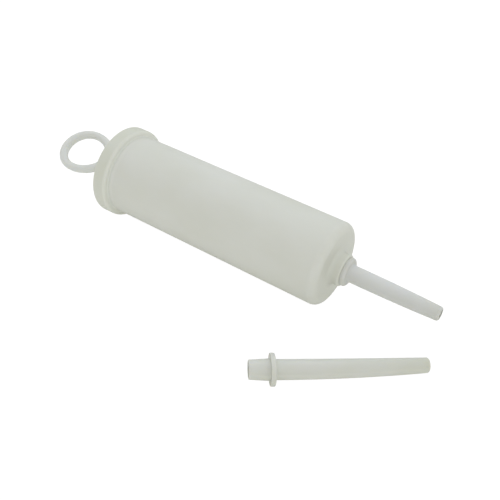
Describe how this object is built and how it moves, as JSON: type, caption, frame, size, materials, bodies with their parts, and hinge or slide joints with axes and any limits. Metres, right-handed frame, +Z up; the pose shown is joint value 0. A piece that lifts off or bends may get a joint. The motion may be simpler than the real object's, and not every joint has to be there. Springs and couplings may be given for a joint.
{
  "type": "meat injector syringe",
  "caption": "Plastic hand syringe for filling and injecting meat: barrel with screw-on rear cap, ring-handled plunger, push-in nozzle and a longer loose nozzle.",
  "frame": {"origin": "middle of the object's footprint, on the surface it lies on", "axes": "+X towards the nozzle, +Z up; the barrel lies on its side and its axis falls 1.3 degrees towards the nozzle"},
  "size_m": [0.3318, 0.1312, 0.0681],
  "materials": {
    "natural_plastic": "milky translucent natural polypropylene, satin",
    "handle_plastic": "milky natural polypropylene, satin",
    "piston_plastic": "natural polyethylene, satin",
    "seal_rubber": "white food-grade silicone"
  },
  "bodies": {
    "barrel": {"barrel": "natural_plastic"},
    "gasket": {"cap_gasket": "seal_rubber"},
    "cap": {"rear_cap": "natural_plastic"},
    "piston": {"piston_front_disc": "piston_plastic", "piston_seal": "seal_rubber", "piston_back_disc": "piston_plastic"},
    "handle": {"plunger_rod": "handle_plastic", "finger_ring": "handle_plastic", "piston_screw": "piston_plastic"},
    "fitted_nozzle": {"small_nozzle": "natural_plastic"},
    "spare_nozzle": {"large_nozzle": "natural_plastic"}
  },
  "joints": [
    {"name": "cap_travel", "type": "slide", "parent": "barrel", "child": "gasket", "axis": [-0.9997, 0, 0.023], "range_m": [0, 0.0054]},
    {"name": "cap_turn", "type": "hinge", "parent": "gasket", "child": "cap", "pos_m": [-0.1042, 0.03163, 0.03418], "axis": [-0.9997, 0, 0.023], "range_deg": [0, 543]},
    {"name": "plunger_stroke", "type": "slide", "parent": "barrel", "child": "piston", "axis": [-0.9997, 0, 0.023], "range_m": [0, 0.155]},
    {"name": "handle_turn", "type": "hinge", "parent": "piston", "child": "handle", "pos_m": [0.06705, 0.03163, 0.03024], "axis": [0.9997, 0, -0.023], "continuous": true},
    {"name": "nozzle_pull", "type": "slide", "parent": "barrel", "child": "fitted_nozzle", "axis": [0.9997, 0, -0.023], "range_m": [0, 0.013]},
    {"name": "spare_nozzle_lift", "type": "slide", "parent": "barrel", "child": "spare_nozzle", "axis": [0, 0, 1], "range_m": [0, 0.05]}
  ],
  "couplings": [
    {"joint": "cap_turn", "follows": "cap_travel", "rad_per_m": 1745.3}
  ]
}
